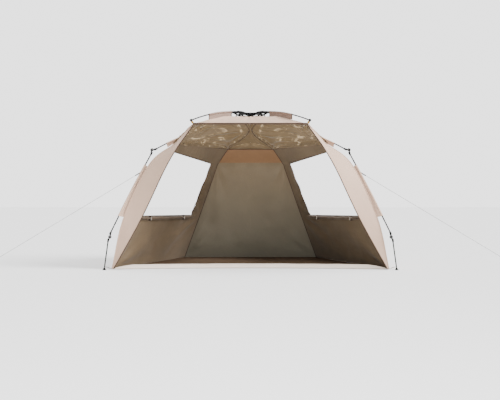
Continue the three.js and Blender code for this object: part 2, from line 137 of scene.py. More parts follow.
def smooth(points, t):
    """The place at t, from 0 to 1, on a smooth line through the points."""
    p = [Vector(q) for q in points]
    p = [p[0] * 2 - p[1]] + p + [p[-1] * 2 - p[-2]]
    spans = len(p) - 3
    s = min(max(t, 0.0), 1.0) * spans
    k = min(int(s), spans - 1)
    f = s - k
    a, b, c, d = p[k:k + 4]
    square = 2 * a - 5 * b + 4 * c - d
    cube = 3 * b - a - 3 * c + d
    return 0.5 * ((2 * b) + (c - a) * f + square * f ** 2 + cube * f ** 3)


def line_of(points, steps):
    return [smooth(points, i / steps) for i in range(steps + 1)]


def at_height(points, z, steps=60):
    """The place where a smooth, rising line passes a height."""
    line = line_of(points, steps)
    for a, b in zip(line, line[1:]):
        if a.z <= z <= b.z:
            return a.lerp(b, (z - a.z) / max(b.z - a.z, 1e-9))
    return line[-1] if z > line[-1].z else line[0]


def spread(t, marks, values):
    """Straight steps between marks, for a grid that follows an opening's edges."""
    for (a, b), (p, q) in zip(zip(marks, marks[1:]), zip(values, values[1:])):
        if t <= b:
            return p + (q - p) * (t - a) / (b - a)
    return values[-1]


# ---------- Finishes ----------
def shader(name, colour, roughness, metallic=0.0, sheen=0.0):
    material = bpy.data.materials.new(name)
    material.use_nodes = True
    tree = material.node_tree
    surface = tree.nodes["Principled BSDF"]
    surface.inputs["Base Color"].default_value = (*colour, 1)
    surface.inputs["Roughness"].default_value = roughness
    surface.inputs["Metallic"].default_value = metallic
    surface.inputs["Specular IOR Level"].default_value = 0.3
    if sheen:
        surface.inputs["Sheen Weight"].default_value = sheen
        surface.inputs["Sheen Roughness"].default_value = 0.5
    return material, tree, surface


def node(tree, kind, **inputs):
    made = tree.nodes.new(kind)
    for key, value in inputs.items():
        made.inputs[key.replace("_", " ")].default_value = value
    return made


def pattern_place(tree, source):
    return tree.nodes.new("ShaderNodeTexCoord").outputs[source]


def mottled(tree, surface, place, light, dark, scale, roughness):
    """Colour and roughness that vary softly over the surface."""
    cloud = node(tree, "ShaderNodeTexNoise", Scale=scale, Detail=5.0, Roughness=0.6)
    tree.links.new(place, cloud.inputs["Vector"])
    ramp = tree.nodes.new("ShaderNodeValToRGB")
    ramp.color_ramp.elements[0].position = 0.3
    ramp.color_ramp.elements[1].position = 0.7
    ramp.color_ramp.elements[0].color = (*dark, 1)
    ramp.color_ramp.elements[1].color = (*light, 1)
    tree.links.new(cloud.outputs["Fac"], ramp.inputs["Fac"])
    tree.links.new(ramp.outputs["Color"], surface.inputs["Base Color"])
    rough = tree.nodes.new("ShaderNodeMapRange")
    rough.inputs["To Min"].default_value = roughness[0]
    rough.inputs["To Max"].default_value = roughness[1]
    tree.links.new(cloud.outputs["Fac"], rough.inputs["Value"])
    tree.links.new(rough.outputs["Result"], surface.inputs["Roughness"])
    return cloud


def woven(name, light, dark, threads=450.0, depth=0.00015, roughness=(0.6, 0.8), sheen=0.15, gloss=0.3,
          painted_highlight_colour=None, painted_light_colour=None):
    """Woven cloth on the piece's own map, which is in metres: fine threads both ways, softly mottled."""
    material, tree, surface = shader(name, light, roughness[1], sheen=sheen)
    place = pattern_place(tree, "UV")
    cloud = mottled(tree, surface, place, light, dark, 2.3, roughness)
    heights = []
    for direction in ("X", "Y"):
        weave = node(tree, "ShaderNodeTexWave", Scale=threads / 6.28, Distortion=0.6, Detail=1.0)
        weave.bands_direction = direction
        tree.links.new(place, weave.inputs["Vector"])
        heights.append(weave.outputs["Fac"])
    cross = tree.nodes.new("ShaderNodeMath")
    cross.operation = "MULTIPLY"
    tree.links.new(heights[0], cross.inputs[0])
    tree.links.new(heights[1], cross.inputs[1])
    crumple = node(tree, "ShaderNodeTexNoise", Scale=14.0, Detail=4.0, Distortion=0.8)
    tree.links.new(place, crumple.inputs["Vector"])
    weave_bump = node(tree, "ShaderNodeBump", Strength=0.35, Distance=depth)
    tree.links.new(cross.outputs[0], weave_bump.inputs["Height"])
    crumple_bump = node(tree, "ShaderNodeBump", Strength=0.5, Distance=0.004)
    tree.links.new(crumple.outputs["Fac"], crumple_bump.inputs["Height"])
    tree.links.new(weave_bump.outputs["Normal"], crumple_bump.inputs["Normal"])
    tree.links.new(crumple_bump.outputs["Normal"], surface.inputs["Normal"])
    surface.inputs["Specular IOR Level"].default_value = gloss
    # painted highlights: pale streaks laid into the cloth's colour
    if painted_highlight_colour:
        painted_highlight_streaks(tree, surface, place, painted_highlight_colour)
    # painted light: the colour made paler towards the ground
    if painted_light_colour:
        painted_light_below(tree, surface, painted_light_colour)
    return material


def over(tree, surface, share, colour):
    """Lays a second colour over the cloth's own, by a share that varies over it."""
    under_link = surface.inputs["Base Color"].links[0].from_socket
    mix = tree.nodes.new("ShaderNodeMix")
    mix.data_type = "RGBA"
    first, second = [socket for socket in mix.inputs if socket.type == "RGBA"]
    mixed = [socket for socket in mix.outputs if socket.type == "RGBA"][0]
    second.default_value = (*colour, 1)
    tree.links.new(share, mix.inputs["Factor"])
    tree.links.new(under_link, first)
    tree.links.new(mixed, surface.inputs["Base Color"])


def painted_highlight_streaks(tree, surface, place, colour):
    """Pale, broken streaks laid over the coating: painted highlights, where light catches the roof's
    wrinkles.
    """
    highlight_streaks = node(tree, "ShaderNodeTexNoise", Scale=7.5, Detail=5.0, Roughness=0.62, Distortion=1.6)
    tree.links.new(place, highlight_streaks.inputs["Vector"])
    sharp = tree.nodes.new("ShaderNodeMapRange")
    sharp.inputs["From Min"].default_value = 0.565
    sharp.inputs["From Max"].default_value = 0.640
    sharp.inputs["To Max"].default_value = 0.85
    tree.links.new(highlight_streaks.outputs["Fac"], sharp.inputs["Value"])
    over(tree, surface, sharp.outputs["Result"], colour)


def painted_light_below(tree, surface, colour):
    """Painted light: the coating painted paler and greyer towards the ground, as if more light reached it
    there.
    """
    height = tree.nodes.new("ShaderNodeSeparateXYZ")
    tree.links.new(pattern_place(tree, "Object"), height.inputs[0])
    fade = tree.nodes.new("ShaderNodeMapRange")
    fade.inputs["From Min"].default_value = 1.0
    fade.inputs["From Max"].default_value = 0.0
    tree.links.new(height.outputs["Z"], fade.inputs["Value"])
    over(tree, surface, fade.outputs["Result"], colour)


def moulded(name, light, dark, roughness, grain=900.0, depth=0.00006, metallic=0.0):
    """Moulded, drawn or coated hard surface on object coordinates, with a fine grain."""
    material, tree, surface = shader(name, light, roughness[1], metallic)
    place = pattern_place(tree, "Object")
    mottled(tree, surface, place, light, dark, 35.0, roughness)
    fine = node(tree, "ShaderNodeTexNoise", Scale=grain, Detail=2.0)
    tree.links.new(place, fine.inputs["Vector"])
    bump = node(tree, "ShaderNodeBump", Strength=0.4, Distance=depth)
    tree.links.new(fine.outputs["Fac"], bump.inputs["Height"])
    tree.links.new(bump.outputs["Normal"], surface.inputs["Normal"])
    surface.inputs["Specular IOR Level"].default_value = 0.12
    return material


OUTSIDE = woven("cream_cloth", (0.56, 0.385, 0.285), (0.49, 0.335, 0.245))
COATING = woven("brown_coating", (0.148, 0.102, 0.058), (0.113, 0.078, 0.044), roughness=(0.42, 0.6))
HEADER = woven("header_coating", (0.235, 0.125, 0.058), (0.185, 0.098, 0.045), roughness=(0.42, 0.6))
# The roof's coating, with pale streaks of painted highlight over its own colour.
ROOF_COATING_AND_HIGHLIGHTS = woven("roof_coating_and_highlights", (0.200, 0.135, 0.068), (0.145, 0.097, 0.047), roughness=(0.3, 0.5),
                     painted_highlight_colour=(0.66, 0.49, 0.29))
# The rear wall's coating, painted paler towards the ground: painted light.
REAR_COATING_LIT_BELOW = woven("rear_coating_lit_below", (0.190, 0.140, 0.082), (0.150, 0.111, 0.064), roughness=(0.42, 0.6),
                     painted_light_colour=(0.225, 0.208, 0.160))
GROUNDSHEET = woven("groundsheet_cloth", (0.105, 0.070, 0.046), (0.085, 0.057, 0.037), roughness=(0.8, 0.95),
                    sheen=0.0, gloss=0.02)
LIP = woven("lip_cloth", (0.76, 0.66, 0.57), (0.68, 0.58, 0.49))
BINDING = woven("edge_binding", (0.052, 0.024, 0.011), (0.036, 0.017, 0.008), threads=900.0)
ROLL = woven("curtain_cloth", (0.105, 0.070, 0.043), (0.070, 0.046, 0.028), roughness=(0.4, 0.6))
# The webs' cloth: the cream cloth darkened, painted shade where the webs stand in shadow.
SHADED_WEB_CLOTH = woven("shaded_web_cloth", (0.27, 0.185, 0.145), (0.22, 0.15, 0.115))
WEBBING = woven("yellow_webbing", (0.34, 0.18, 0.012), (0.26, 0.13, 0.008), threads=1500.0, depth=0.0004)
CORD_SLEEVE = woven("guy_cord_sleeve", (0.014, 0.014, 0.014), (0.008, 0.008, 0.008), threads=2200.0,
                    depth=0.0003)
PLASTIC = moulded("black_moulding", (0.006, 0.006, 0.0065), (0.004, 0.004, 0.0045), (0.45, 0.6))
ROD_BLACK = moulded("black_rod", (0.005, 0.005, 0.0055), (0.003, 0.003, 0.0035), (0.35, 0.5))
TUBE_BLACK = moulded("black_tube", (0.006, 0.006, 0.007), (0.004, 0.004, 0.0045), (0.4, 0.55))
RUBBER = moulded("foot_rubber", (0.006, 0.006, 0.006), (0.004, 0.004, 0.004), (0.75, 0.9), grain=500.0)
PEG_STEEL = moulded("peg_steel", (0.012, 0.012, 0.013), (0.008, 0.008, 0.008), (0.4, 0.55), metallic=0.4)
PALE_PLASTIC = moulded("pale_buckle", (0.42, 0.39, 0.34), (0.36, 0.33, 0.29), (0.35, 0.5))
RIVET = moulded("rivet_steel", (0.16, 0.155, 0.15), (0.12, 0.115, 0.11), (0.3, 0.45), metallic=1.0)
GREY_WEBBING = woven("grey_webbing", (0.30, 0.29, 0.28), (0.24, 0.23, 0.22), threads=1500.0, depth=0.0004)


# ---------- Making pieces ----------
def piece(name, bm, *materials):
    """A finished mesh as an object at the origin."""
    mesh = bpy.data.meshes.new(name)
    for face in bm.faces:
        face.smooth = True
    bm.to_mesh(mesh)
    bm.free()
    for material in materials:
        mesh.materials.append(material)
    made = bpy.data.objects.new(name, mesh)
    scene.collection.objects.link(made)
    return made


def length_along(spot, other, way, start=0.0, end=1.0, steps=12):
    """How long a panel is along one of its ways, at a place on the other."""
    marks = [start + (end - start) * i / steps for i in range(steps + 1)]
    places = [spot(mark, other) if way == 0 else spot(other, mark) for mark in marks]
    return sum((b - a).length for a, b in zip(places, places[1:]))


def laid_grid(spot, across, along):
    """A grid laid where spot(u, v) says, u and v from 0 to 1, with a map in metres."""
    bm = bmesh.new()
    bmesh.ops.create_grid(bm, x_segments=across, y_segments=along, size=0.5)
    wide = length_along(spot, 0.5, 0)
    long = length_along(spot, 0.5, 1)
    layer = bm.loops.layers.uv.new("UVMap")
    for face in bm.faces:
        for loop in face.loops:
            loop[layer].uv = ((loop.vert.co.x + 0.5) * wide, (loop.vert.co.y + 0.5) * long)
    marks = {}
    for vert in bm.verts:
        u, v = vert.co.x + 0.5, vert.co.y + 0.5
        marks[vert] = (u, v)
        vert.co = spot(u, v)
    return bm, marks


def face_towards(bm, outward):
    """Turns a panel so that its front faces the way given."""
    bm.normal_update()
    whole = Vector((0, 0, 0))
    for face in bm.faces:
        whole += face.normal * face.calc_area()
    if whole.dot(Vector(outward)) < 0:
        bmesh.ops.reverse_faces(bm, faces=bm.faces)
        bm.normal_update()


def slack(bm, marks, deep, scale, seed, pulls=(), margin=0.12, held=(1, 1, 1, 1)):
    """Lets a panel lie as cloth does: soft waves, and folds drawn from the corners that pull on it.

    A pull is the corner's place on the panel, the depth of its folds, how many fan out from it and how
    fast they die away. held says which of the panel's four edges are sewn down."""
    for vert, (u, v) in marks.items():
        gaps = [gap for gap, sewn in zip((u, 1 - u, v, 1 - v), held) if sewn]
        hold = min(max(min(gaps) / margin, 0.0), 1.0) ** 1.5
        lift = noise.noise(vert.co * scale + Vector((seed, seed * 0.7, 0))) * deep
        lift += noise.noise(vert.co * scale * 2.7 + Vector((seed, 3.1, seed))) * deep * 0.35
        for pull_u, pull_v, strong, folds, fade in pulls:
            du, dv = u - pull_u, v - pull_v
            far = math.hypot(du, dv)
            fan = math.sin(math.atan2(dv, du) * folds + seed)
            lift += strong * math.exp(-far * fade) * fan * min(far * 8, 1)
        vert.co += vert.normal * lift * hold


def cloth_panel(name, spot, across, along, outward, materials, deep=0.006, scale=3.0, seed=1.0, pulls=(),
                opening=None, thick=CLOTH_THICK, margin=0.12, held=(1, 1, 1, 1),
                start=0.0, end=1.0):
    """A cut and sewn cloth panel, its outer cloth on one side and its coating on the other.

    start and end keep only that part of its length, so that two pieces can share one panel."""
    bm, marks = laid_grid(spot, across, along)
    face_towards(bm, outward)
    slack(bm, marks, deep, scale, seed, pulls, margin, held)
    def left_out(face):
        middle = [sum(marks[vert][k] for vert in face.verts) / len(face.verts) for k in (0, 1)]
        return not start < middle[1] < end or (opening and opening(*middle))

    gone = [face for face in bm.faces if left_out(face)]
    if gone:
        bmesh.ops.delete(bm, geom=gone, context="FACES")
    for edge in bm.edges:
        edge.smooth = not edge.is_boundary
    area = sum(f.calc_area() for f in bm.faces)
    widest = max(length_along(spot, v, 0) for v in (start, (start + end) / 2, end))
    longest = max(length_along(spot, u, 1, start, end) for u in (0, 0.5, 1))
    made = piece(name, bm, *materials)
    wall = made.modifiers.new("thickness", "SOLIDIFY")
    wall.thickness = thick
    wall.offset = 0
    wall.use_even_offset = False
    wall.material_offset = len(materials) - 1
    return made


def tube(name, line, size, material, hint=(0, 0, 1), flat=1.0, around=8, steps=None):
    """A cord, piping, tape or rod: a round or flattened section carried along a line."""
    steps = steps or len(line) - 1
    path = [Vector(p) for p in line]
    hint = Vector(hint)

    def section(u, v):
        s = v * (len(path) - 1)
        k = min(int(s), len(path) - 2)
        centre = path[k].lerp(path[k + 1], s - k)
        ahead = (path[min(k + 1, len(path) - 1)] - path[k])
        near = min(max(int(round(s)), 0), len(path) - 1)
        if 0 < near < len(path) - 1:
            ahead = path[near + 1] - path[near - 1]
        ahead.normalize()
        side = ahead.cross(hint).normalized()
        lift = side.cross(ahead).normalized()
        r = size(v) if callable(size) else size
        angle = u * 2 * math.pi
        return centre + side * math.cos(angle) * r + lift * math.sin(angle) * r * flat

    bm, _ = laid_grid(section, around, steps)
    bmesh.ops.remove_doubles(bm, verts=bm.verts, dist=1e-6)
    ends = [e for e in bm.edges if e.is_boundary]
    bmesh.ops.holes_fill(bm, edges=ends, sides=0)
    bmesh.ops.recalc_face_normals(bm, faces=bm.faces)
    return piece(name, bm, material)


def ride(made, body, slot, *nodes):
    """Fixes a piece to the body that carries it and hides the solids it stands for."""
    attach(made, body)
    if nodes:
        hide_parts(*nodes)
    return made


# ---------- Guy lines ----------
def guy_line(label, side):
    """A taut guy line from the leg's sleeve to its peg, with its slider and its knot."""
    start, end = sided([GUY["from"], GUY["to"]], side)
    curve = bpy.data.curves.new(f"guy_cord_{label}", "CURVE")
    curve.dimensions = "3D"
    curve.bevel_depth = GUY["thick"] / 2
    curve.bevel_resolution = 3
    curve.use_fill_caps = True
    spline = curve.splines.new("POLY")
    steps = 20
    spline.points.add(steps)
    for i in range(steps + 1):
        spline.points[i].co = (*start.lerp(end, i / steps), 1)
    curve.materials.append(CORD_SLEEVE)
    cord = bpy.data.objects.new(f"guy_cord_{label}", curve)
    scene.collection.objects.link(cord)
    ride(cord, "hub", "guy_cord", f"guy_line_{label}")
    along = (end - start).normalized()
    # the line's adjuster: a short doubled length under a black slider, close to the sleeve
    slider = tube(f"guy_adjuster_{label}", [start + along * d for d in (0.0, 0.006, 0.02, 0.05, 0.064, 0.07)],
                  lambda v: 0.0052 if 0.1 < v < 0.9 else 0.003, PLASTIC, around=12)
    ride(slider, "hub", "moulded_plastic")
    knot = tube(f"guy_knot_{label}", [end - along * d for d in (0.045, 0.036, 0.024, 0.012, 0.004)],
                lambda v: 0.0022 + 0.0026 * math.sin(v * math.pi), CORD_SLEEVE, around=10, steps=12)
    ride(knot, "hub", "guy_cord")


for label, side in SIDES:
    guy_line(label, side)

# ---------- Roof ----------
def between(first, second, side, v0=0.0, v1=1.0, bow=0.0):
    """Cloth stretched between two seams, from v0 to v1 along them."""
    def spot(u, v):
        t = v0 + (v1 - v0) * v
        a, b = smooth(first, t), smooth(second, t)
        here = a.lerp(b, u)
        here.z -= bow * math.sin(u * math.pi) * math.sin(v * math.pi)
        return site(side * here.x, here.y, here.z)
    return spot


CROSSING = 0.75                    # where the seams meet, as a share of their length
ROOF_CLOTH = (OUTSIDE, ROOF_COATING_AND_HIGHLIGHTS)
SEAM_HALF = 0.0045                 # half the width of a felled seam


def gather(made, group, label, side, low=False):
    """Rides a cloth piece on the rod that carries it, with a mesh of its own."""
    if group in FEET:
        body = f"arm_{group}_{label}"
        axis, anchor = heading(group, side)[1], site(0, HUB_BACK, 1.5)
    elif group == "wall":
        body = f"lower_leg_front_{label}" if low else f"leg_front_{label}"
        axis, anchor = Vector((-0.44 * side, 0.90, 0)), site(side * 1.15, 0.12, 0.7)
    elif group == "band":
        body = f"lower_leg_front_{label}" if low else f"leg_front_{label}"
        axis = heading("front", side)[0] * 0.89 + Vector((0, 0, 0.457))
        anchor = on_plane("front", side, 1.30, 0.77)
    elif group == "back":
        body = f"lower_leg_rear_{label}" if low else f"leg_rear_{label}"
        axis, anchor = Vector((1, 0, 0)), site(side * 0.58, 1.25, 0.6)
    else:
        body = "hub"
        axis, anchor = Vector((1, 0, 0)), site(0, 0.8, 0)
    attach(made, body)
    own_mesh(made)
    return made


def sew(made, group, label, side, slot, *nodes, low=False):
    """Rides a cloth piece on its rod and hides the solids it stands for."""
    gather(made, group, label, side, low)
    if nodes:
        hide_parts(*nodes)
    return made


def under(points, side, v0, v1, steps, drop=0.004):
    """A line along a seam, just under the cloth."""
    places = [smooth(points, v0 + (v1 - v0) * i / steps) for i in range(steps + 1)]
    return [site(side * p.x, p.y, p.z - drop) for p in places]


for label, side in SIDES:
    front = cloth_panel(f"roof_front_{label}", between(ROOF_MIDDLE, ROOF_SEAM, side, 0, CROSSING), 36, 60,
                        (0, 0, 1), ROOF_CLOTH, deep=0.010, scale=5.5, seed=2.0, held=(0, 1, 1, 1),
                        margin=0.06, pulls=((1, 0, 0.012, 14, 2.2), (0, 1, 0.010, 16, 2.0)))
    flank = cloth_panel(f"roof_side_{label}", between(ROOF_SEAM, ROOF_EDGE, side, bow=0.012), 40, 90,
                        (0, 0, 1), ROOF_CLOTH, deep=0.010, scale=4.5, seed=5.0 + side, margin=0.06,
                        pulls=((1, 0.5, 0.022, 26, 2.0), (0, 0.75, 0.014, 18, 2.0)))
    back = cloth_panel(f"roof_rear_{label}", between(ROOF_MIDDLE, ROOF_SEAM, side, CROSSING, 1), 16, 36,
                       (0, 0, 1), ROOF_CLOTH, deep=0.007, scale=6.0, seed=8.0, held=(0, 1, 1, 1), margin=0.08,
                       pulls=((1, 1, 0.008, 12, 2.5),))
    for made, group in ((front, "eave"), (flank, "front"), (back, "rear")):
        sew(made, group, label, side, "canopy_cloth", f"roof_{label}")
    seam_front = tube(f"roof_seam_front_{label}", under(ROOF_SEAM, side, 0.0, CROSSING, 36), SEAM_HALF,
                      BINDING, flat=0.4)
    sew(seam_front, "eave", label, side, "trim_cloth")
    seam_rear = tube(f"roof_seam_rear_{label}", under(ROOF_SEAM, side, CROSSING, 1.0, 16), SEAM_HALF, BINDING,
                     flat=0.4)
    sew(seam_rear, "rear", label, side, "trim_cloth")
    edge_seam = tube(f"roof_edge_seam_{label}", under(ROOF_EDGE, side, 0.5, 1.0, 40, 0.002), 0.005, BINDING,
                     flat=0.5)
    sew(edge_seam, "front", label, side, "trim_cloth")
    eave_line = [site(side * x, EAVE_CORNER[1] - 0.002, 1.453) for x in [0.564 * i / 20 for i in range(21)]]
    eave_tape = tube(f"eave_binding_{label}", eave_line, 0.0085, BINDING, hint=(0, -1, 0), flat=0.35,
                     around=10)
    sew(eave_tape, "eave", label, side, "trim_cloth")
    rear_edge = [(0, 0.872, 1.276), (0.125, 0.871, 1.275), (0.250, 0.870, 1.274)]
    rear_line = under(rear_edge, side, 0, 1, 12, 0.002)
    rear_tape = tube(f"rear_binding_{label}", rear_line, 0.007, BINDING, hint=(0, -1, 0), flat=0.5)
    sew(rear_tape, "rear", label, side, "trim_cloth")

# ---------- Walls ----------
def wall_spot(side):
    """A side wall from the ground to the roof's edge, on lines that run round its window."""
    top_front, top_rear, low_rear, low_front = [Vector(p) for p in WINDOW]
    ground_front = Vector(FRONT_SEAM[0]).lerp(Vector(REAR_SEAM[0]), 0.10)
    ground_rear = Vector(FRONT_SEAM[0]).lerp(Vector(REAR_SEAM[0]), 0.70)
    eave_front = Vector(ROOF_EDGE[2]).lerp(Vector(ROOF_EDGE[3]), 0.14)
    eave_rear = Vector(ROOF_EDGE[3]).lerp(Vector(ROOF_EDGE[4]), 0.66)
    ladder = [0.0, 1.0, 2.0, 3.0]
    heights_front = [0.004, low_front.z, top_front.z, 1.268]
    heights_rear = [0.004, low_rear.z, top_rear.z, 1.272]

    def spot(u, v):
        level = spread(v, WALL_ROWS, ladder)
        place = spread(u, WALL_COLUMNS, ladder)
        seams = [Vector(ROOF_EDGE[2]), Vector(ROOF_EDGE[4])]
        if level < 3:
            seams = [at_height(FRONT_SEAM, spread(level, ladder, heights_front)),
                     at_height(REAR_SEAM, spread(level, ladder, heights_rear))]
        columns = [
            seams[0],
            spread(level, ladder, [ground_front, low_front, top_front, eave_front]),
            spread(level, ladder, [ground_rear, low_rear, top_rear, eave_rear]),
            seams[1],
        ]
        here = spread(place, ladder, columns)
        return site(side * here.x, here.y, here.z)
    return spot


WALL_ROWS = [0.0, 0.42, 0.94, 1.0]           # ground, window's foot, window's head, roof's edge
WALL_COLUMNS = [0.0, 0.10, 0.86, 1.0]        # leg, window's front, window's rear, rear corner
EPS = 1e-4
WINDOW_IN = (-0.87, -0.48)         # the level way in through a window, across and back


def in_window(u, v):
    """Whether a place on a side wall lies in its window."""
    across = WALL_COLUMNS[1] - EPS < u < WALL_COLUMNS[2] + EPS
    return across and WALL_ROWS[1] - EPS < v < WALL_ROWS[2] + EPS


def window_line(a, b, side, inward, steps=16, wander=0.0):
    """A line along one side of a window, a little inside the shelter."""
    places = []
    for i in range(steps + 1):
        t = i / steps
        p = Vector(WINDOW[a]).lerp(Vector(WINDOW[b]), t)
        swing = wander * math.sin(t * 17) * math.sin(t * math.pi)
        x = p.x + WINDOW_IN[0] * inward + swing * 0.4
        places.append(site(side * x, p.y + WINDOW_IN[1] * inward - swing, p.z))
    return places


def on_sill(side, t, inward, drop=0.0):
    """A place along a window's lower edge, from its front corner to its rear one."""
    p = Vector(WINDOW[3]).lerp(Vector(WINDOW[2]), t)
    sag = 0.010 * math.sin(t * math.pi)
    return site(side * (p.x + WINDOW_IN[0] * inward), p.y + WINDOW_IN[1] * inward, p.z - drop - sag)


TIES = (0.25, 0.84)                # where the curtain's ties sit along its sill


def curtain(label, side):
    """A window's curtain rolled up on the sill, with the two ties that hold it."""
    def spot(u, v):
        turn = u * 2 * math.pi * 2.6
        puff = 1 + 0.34 * noise.noise(Vector((v * 13, side * 3, u * 3))) - 0.30 * max(
            math.exp(-((v - tie) / 0.02) ** 2) for tie in TIES)
        r = (0.008 + 0.0105 * u) * puff
        centre = on_sill(side, 0.02 + 0.96 * v, 0.022, 0.014)
        level = math.cos(turn) * r
        return centre + Vector((side * WINDOW_IN[0] * level, WINDOW_IN[1] * level, math.sin(turn) * r))

    roll = cloth_panel(f"curtain_roll_{label}", spot, 56, 70, (0, 0, 1), (ROLL, ROLL), deep=0.0,
                       thick=0.0008)
    sew(roll, "wall", label, side, "wall_cloth", f"curtain_{label}")
    for i, tie in enumerate(TIES):
        ring = []
        for k in range(19):
            a = 2 * math.pi * k / 18
            middle = on_sill(side, 0.02 + 0.96 * tie, 0.022, 0.013)
            level = math.cos(a)
            way = Vector((side * WINDOW_IN[0] * level, WINDOW_IN[1] * level, math.sin(a) * 1.2))
            ring.append(middle + way * 0.0165)
        band = tube(f"curtain_tie_{label}_{i + 1}", ring, 0.0085, BINDING, hint=(0.48, -0.87 * side, 0),
                    flat=0.2)
        sew(band, "wall", label, side, "trim_cloth")
        at = on_sill(side, 0.02 + 0.96 * tie, 0.040, 0.020)
        toggle = tube(f"curtain_toggle_{label}_{i + 1}",
                      [at + Vector((0, 0, h)) for h in (-0.016, -0.013, 0.0, 0.013, 0.016)],
                      lambda v: 0.0045 if 0.1 < v < 0.9 else 0.003, PALE_PLASTIC, hint=(1, 0, 0), around=12,
                      steps=10)
        sew(toggle, "wall", label, side, "moulded_plastic")


WALL_ANKLE = 0.24                  # how far up the side walls the frame's front ankles are
BAND_ANKLE = min((k / 80 for k in range(81)), key=lambda v: abs(smooth(BAND_OUTER, v).z - 0.345))
LOW_AND_HIGH = (("_low", True), ("", False))


def seam_tube(name, points, side, forward, split, group, label, size, material, flat):
    """Piping along a sewn line, in two pieces that part at split, the frame's ankle."""
    low_first = points[0][2] < points[-1][2]
    for tag, low in LOW_AND_HIGH:
        first, last = (0.0, split) if low == low_first else (split, 1.0)
        steps = 14 if low else 46
        places = [smooth(points, first + (last - first) * i / steps) for i in range(steps + 1)]
        line = [site(side * p.x, p.y - forward, p.z) for p in places]
        made = tube(f"{name}{tag}_{label}", line, size, material, hint=(0, -1, 0), flat=flat)
        sew(made, group, label, side, "trim_cloth", low=low)


for label, side in SIDES:
    for tag, low in LOW_AND_HIGH:
        first, last = (0.0, WALL_ANKLE) if low else (WALL_ANKLE, 1.0)
        wall = cloth_panel(f"side_cloth{tag}_{label}", wall_spot(side), 50, 50, (side, 0.5, 0.2),
                           (OUTSIDE, COATING), deep=0.012, scale=3.4, seed=3.0 + side * 2,
                           opening=in_window, start=first, end=last,
                           pulls=((0, 0, 0.02, 9, 2.4), (1, 0.42, 0.012, 9, 3.0)), margin=0.06)
        sew(wall, "wall", label, side, "wall_cloth", f"side_wall_{label}", low=low)
        band_low = BAND_OUTER[0][2] < BAND_OUTER[-1][2]
        first, last = (0.0, BAND_ANKLE) if low == band_low else (BAND_ANKLE, 1.0)
        band = cloth_panel(f"front_cloth{tag}_{label}", between(BAND_OUTER, BAND_INNER, side), 14, 80,
                           (0, -1, 0), (OUTSIDE, COATING), deep=0.006, scale=5.0, seed=4.0 + side,
                           margin=0.2, start=first, end=last)
        sew(band, "band", label, side, "trim_cloth", f"front_band_{label}", low=low)
    for i, (a, b) in enumerate(((0, 1), (1, 2), (2, 3), (3, 0))):
        edge = window_line(a, b, side, 0.003, wander=0.012 * (i == 1))
        frame_tape = tube(f"window_binding_{label}_{i + 1}", edge, 0.007, BINDING,
                          hint=(0.87 * side, 0.48, 0), flat=0.35)
        sew(frame_tape, "wall", label, side, "trim_cloth")
    rear_ankle = min((k / 80 for k in range(81)), key=lambda v: abs(smooth(REAR_SEAM, v).z - 0.565))
    seam_tube("rear_corner_seam", REAR_SEAM, side, 0.004, rear_ankle, "back", label, SEAM_HALF, BINDING, 0.5)
    seam_tube("front_corner_seam", BAND_OUTER, side, 0.003, BAND_ANKLE, "band", label, 0.004, OUTSIDE, 0.6)
    seam_tube("doorway_binding", BAND_INNER, side, 0.001, BAND_ANKLE, "band", label, 0.0048, BINDING, 0.5)
    curtain(label, side)

# ---------- Rear wall, with a thinner header across its top ----------
HEADER_LOW = 1.125
REAR_ANKLE = 0.5                   # how far up the rear wall the frame's rear ankles are


def rear_spot(side, z0, z1):
    """Half of the rear wall between two heights, from its middle to the corner seam."""
    def spot(u, v):
        edge = at_height(REAR_SEAM, z0 + (z1 - z0) * v)
        bow = 0.002 * (1 - u * u)
        return site(side * u * edge.x, edge.y + bow, edge.z)
    return spot


for label, side in SIDES:
    for tag, low in LOW_AND_HIGH:
        first, last = (0.0, REAR_ANKLE) if low else (REAR_ANKLE, 1.0)
        rear = cloth_panel(f"rear_cloth{tag}_{label}", rear_spot(side, 0.004, HEADER_LOW), 26, 52,
                           (0, 1, 0.3), (OUTSIDE, REAR_COATING_LIT_BELOW), deep=0.012, scale=2.6, seed=6.0,
                           held=(0, 1, 1, 1),
                           pulls=((1, 1, 0.015, 12, 2.4), (1, 0, 0.012, 10, 3.0)), start=first, end=last)
        sew(rear, "back", label, side, "wall_cloth", "rear_wall", low=low)
    header = cloth_panel(f"rear_header_{label}", rear_spot(side, HEADER_LOW, 1.274), 18, 12, (0, 1, 0.3),
                         (OUTSIDE, HEADER), deep=0.008, scale=5.0, seed=7.0, held=(0, 1, 1, 1))
    sew(header, "back", label, side, "wall_cloth", "rear_wall")

# ---------- Groundsheet and front lip ----------
FLOOR_FRONT = 0.052
FLOOR_HOLLOW = 0.130
FLOOR_HALF = 1.392                 # half the front edge
FLOOR_REAR_HALF = 0.802            # half the rear edge
FLOOR_REAR = 1.543
LIP_HALF = 1.384


def floor_front(x):
    """How far back the hollow front edge of the floor is, x metres from its middle."""
    return FLOOR_FRONT + FLOOR_HOLLOW * (1 - (x / 1.4) ** 2)


def floor_spot(u, v):
    x_front = (2 * u - 1) * FLOOR_HALF
    x_rear = (2 * u - 1) * FLOOR_REAR_HALF
    front_y = floor_front(x_front) + 0.004
    return site(x_front + (x_rear - x_front) * v, front_y + (FLOOR_REAR - front_y) * v, 0.0035)


floor = cloth_panel("groundsheet", floor_spot, 80, 50, (0, 0, 1), (GROUNDSHEET, GROUNDSHEET), deep=0.003,
                    scale=6.0, seed=9.0, thick=0.001)
sew(floor, "floor", "", 0, "floor_cloth", "floor_sheet")


